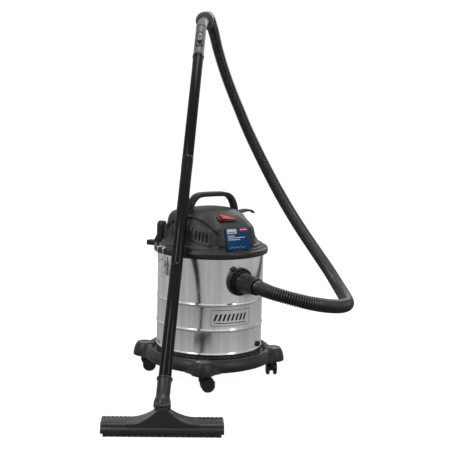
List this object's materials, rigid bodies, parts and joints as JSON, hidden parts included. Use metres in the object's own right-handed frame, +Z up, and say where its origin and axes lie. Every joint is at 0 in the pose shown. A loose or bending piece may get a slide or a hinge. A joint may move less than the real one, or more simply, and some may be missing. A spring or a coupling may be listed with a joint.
{
  "type": "shop vacuum",
  "caption": "Wet-and-dry drum vacuum on a swivel-caster dolly: steel drum, clamped motor head with carry handle, ribbed hose, plug-together wand and wide floor tool.",
  "frame": {"origin": "on the floor, at the middle of the box of the machine, wand and floor tool, with the loose hose and its two cuffs left out", "axes": "+Z up; -Y is the side the floor tool stands on, in front of the drum; +X is to the right of someone who faces the drum from the floor tool"},
  "size_m": [0.6473, 1.293, 1.0695],
  "materials": {
    "axle_steel": "plain steel",
    "black_plastic": "satin black moulding",
    "chrome_latch": "bright plating",
    "fan_metal": "pressed sheet",
    "filter_foam": "open-cell foam",
    "handle_plastic": "satin grey moulding",
    "head_plastic": "fine-textured dark grey moulding",
    "hose_plastic": "ribbed satin black",
    "label_blue": null,
    "laminations": "stacked steel laminations",
    "pale_plastic": "light grey moulding",
    "soft_rubber": "black rubber",
    "stainless_drum": "satin stainless steel with a soft vertical sheen",
    "switch_red": "glossy red",
    "wand_tube": "glossy black tube",
    "winding": "lacquered copper"
  },
  "bodies": {
    "vacuum": {"dolly_frame": "black_plastic", "drum": "stainless_drum", "inlet_flange": "black_plastic", "inlet_seal": "soft_rubber", "hose_cuff_inlet": "black_plastic", "hose": "hose_plastic", "drain_boss": "black_plastic", "latch_plate_left": "chrome_latch", "latch_plate_right": "chrome_latch", "head_cover": "head_plastic", "head_base": "black_plastic", "rim_gasket": "soft_rubber", "carry_handle": "black_plastic", "switch_bezel": "black_plastic", "label_plate": "label_blue", "cable_hook": "head_plastic", "side_hook": "black_plastic", "motor_mount_seal": "soft_rubber", "motor_housing": "handle_plastic", "motor_stator": "laminations", "float_cage": "pale_plastic", "foam_filter": "filter_foam", "filter_band": "soft_rubber", "tool_body": "black_plastic", "front_strip": "soft_rubber", "rear_strip": "soft_rubber"},
    "caster_1": {"caster_1_yoke": "black_plastic"},
    "caster_1_wheels": {"caster_1_axle": "axle_steel", "caster_1_wheel_left": "black_plastic", "caster_1_wheel_right": "black_plastic"},
    "caster_2": {"caster_2_yoke": "black_plastic"},
    "caster_2_wheels": {"caster_2_axle": "axle_steel", "caster_2_wheel_left": "black_plastic", "caster_2_wheel_right": "black_plastic"},
    "caster_3": {"caster_3_yoke": "black_plastic"},
    "caster_3_wheels": {"caster_3_axle": "axle_steel", "caster_3_wheel_left": "black_plastic", "caster_3_wheel_right": "black_plastic"},
    "caster_4": {"caster_4_yoke": "black_plastic"},
    "caster_4_wheels": {"caster_4_axle": "axle_steel", "caster_4_wheel_left": "black_plastic", "caster_4_wheel_right": "black_plastic"},
    "latch_lever_left": {"latch_lever_left": "chrome_latch"},
    "latch_bail_left": {"latch_bail_left": "chrome_latch"},
    "latch_lever_right": {"latch_lever_right": "chrome_latch"},
    "latch_bail_right": {"latch_bail_right": "chrome_latch"},
    "switch_rocker": {"switch_rocker": "switch_red"},
    "rotor": {"motor_armature": "winding", "fan_impeller": "fan_metal"},
    "float": {"float": "pale_plastic"},
    "drain_bung": {"drain_bung": "soft_rubber"},
    "wand": {"tool_neck": "black_plastic", "tube_lower": "wand_tube", "tube_middle": "wand_tube", "tube_upper": "wand_tube", "wand_handle": "handle_plastic", "hose_cuff_handle": "black_plastic"},
    "suction_slider": {"suction_slider": "head_plastic"}
  },
  "joints": [
    {"name": "caster_1_swivel", "type": "hinge", "parent": "vacuum", "child": "caster_1", "pos_m": [0.00256, -0.16589, 0.06], "axis": [0, 0, 1], "continuous": true},
    {"name": "caster_1_roll", "type": "hinge", "parent": "caster_1", "child": "caster_1_wheels", "pos_m": [0.01625, -0.16298, 0.019], "axis": [-0.2079, 0.9781, 0], "continuous": true},
    {"name": "caster_2_swivel", "type": "hinge", "parent": "vacuum", "child": "caster_2", "pos_m": [0.19881, 0.00713, 0.06], "axis": [0, 0, 1], "continuous": true},
    {"name": "caster_2_roll", "type": "hinge", "parent": "caster_2", "child": "caster_2_wheels", "pos_m": [0.19735, 0.02105, 0.019], "axis": [-0.9945, -0.1045, 0], "continuous": true},
    {"name": "caster_3_swivel", "type": "hinge", "parent": "vacuum", "child": "caster_3", "pos_m": [0.02579, 0.20338, 0.06], "axis": [0, 0, 1], "continuous": true},
    {"name": "caster_3_roll", "type": "hinge", "parent": "caster_3", "child": "caster_3_wheels", "pos_m": [0.01367, 0.21038, 0.019], "axis": [-0.5, -0.866, 0], "continuous": true},
    {"name": "caster_4_swivel", "type": "hinge", "parent": "vacuum", "child": "caster_4", "pos_m": [-0.17046, 0.03036, 0.06], "axis": [0, 0, 1], "continuous": true},
    {"name": "caster_4_roll", "type": "hinge", "parent": "caster_4", "child": "caster_4_wheels", "pos_m": [-0.15649, 0.03134, 0.019], "axis": [-0.0698, 0.9976, 0], "continuous": true},
    {"name": "latch_lever_left_swing", "type": "hinge", "parent": "vacuum", "child": "latch_lever_left", "pos_m": [-0.11851, -0.06611, 0.338], "axis": [-0.5388, 0.8425, 0], "range_deg": [0, 110]},
    {"name": "latch_bail_left_swing", "type": "hinge", "parent": "latch_lever_left", "child": "latch_bail_left", "pos_m": [-0.12062, -0.06746, 0.326], "axis": [-0.5388, 0.8425, 0], "range_deg": [-132, 0]},
    {"name": "latch_lever_right_swing", "type": "hinge", "parent": "vacuum", "child": "latch_lever_right", "pos_m": [0.14686, 0.1036, 0.338], "axis": [0.5388, -0.8425, 0], "range_deg": [0, 110]},
    {"name": "latch_bail_right_swing", "type": "hinge", "parent": "latch_lever_right", "child": "latch_bail_right", "pos_m": [0.14897, 0.10495, 0.326], "axis": [0.5388, -0.8425, 0], "range_deg": [-132, 0]},
    {"name": "switch_tilt", "type": "hinge", "parent": "vacuum", "child": "switch_rocker", "pos_m": [0.05602, -0.07082, 0.464], "axis": [0.4569, -0.7144, -0.5299], "range_deg": [0, 16]},
    {"name": "motor_spin", "type": "hinge", "parent": "vacuum", "child": "rotor", "pos_m": [0.01418, 0.01875, 0.41], "axis": [0, 0, 1], "continuous": true},
    {"name": "float_lift", "type": "slide", "parent": "vacuum", "child": "float", "axis": [0, 0, 1], "range_m": [0, 0.03]},
    {"name": "drain_bung_pull", "type": "slide", "parent": "vacuum", "child": "drain_bung", "axis": [0.9178, -0.3971, 0], "range_m": [0, 0.02]},
    {"name": "wand_tilt", "type": "hinge", "parent": "vacuum", "child": "wand", "pos_m": [-0.08882, -0.47825, 0.04], "axis": [0.9986, -0.0532, 0], "range_deg": [0, 35], "deforming": ["hose"]},
    {"name": "suction_slide", "type": "slide", "parent": "wand", "child": "suction_slider", "axis": [0.0366, 0.6868, 0.7259], "range_m": [-0.018, 0]}
  ],
  "couplings": [
    {"joint": "latch_bail_left_swing", "follows": "latch_lever_left_swing", "ratio": -1.2},
    {"joint": "latch_bail_right_swing", "follows": "latch_lever_right_swing", "ratio": -1.2}
  ]
}
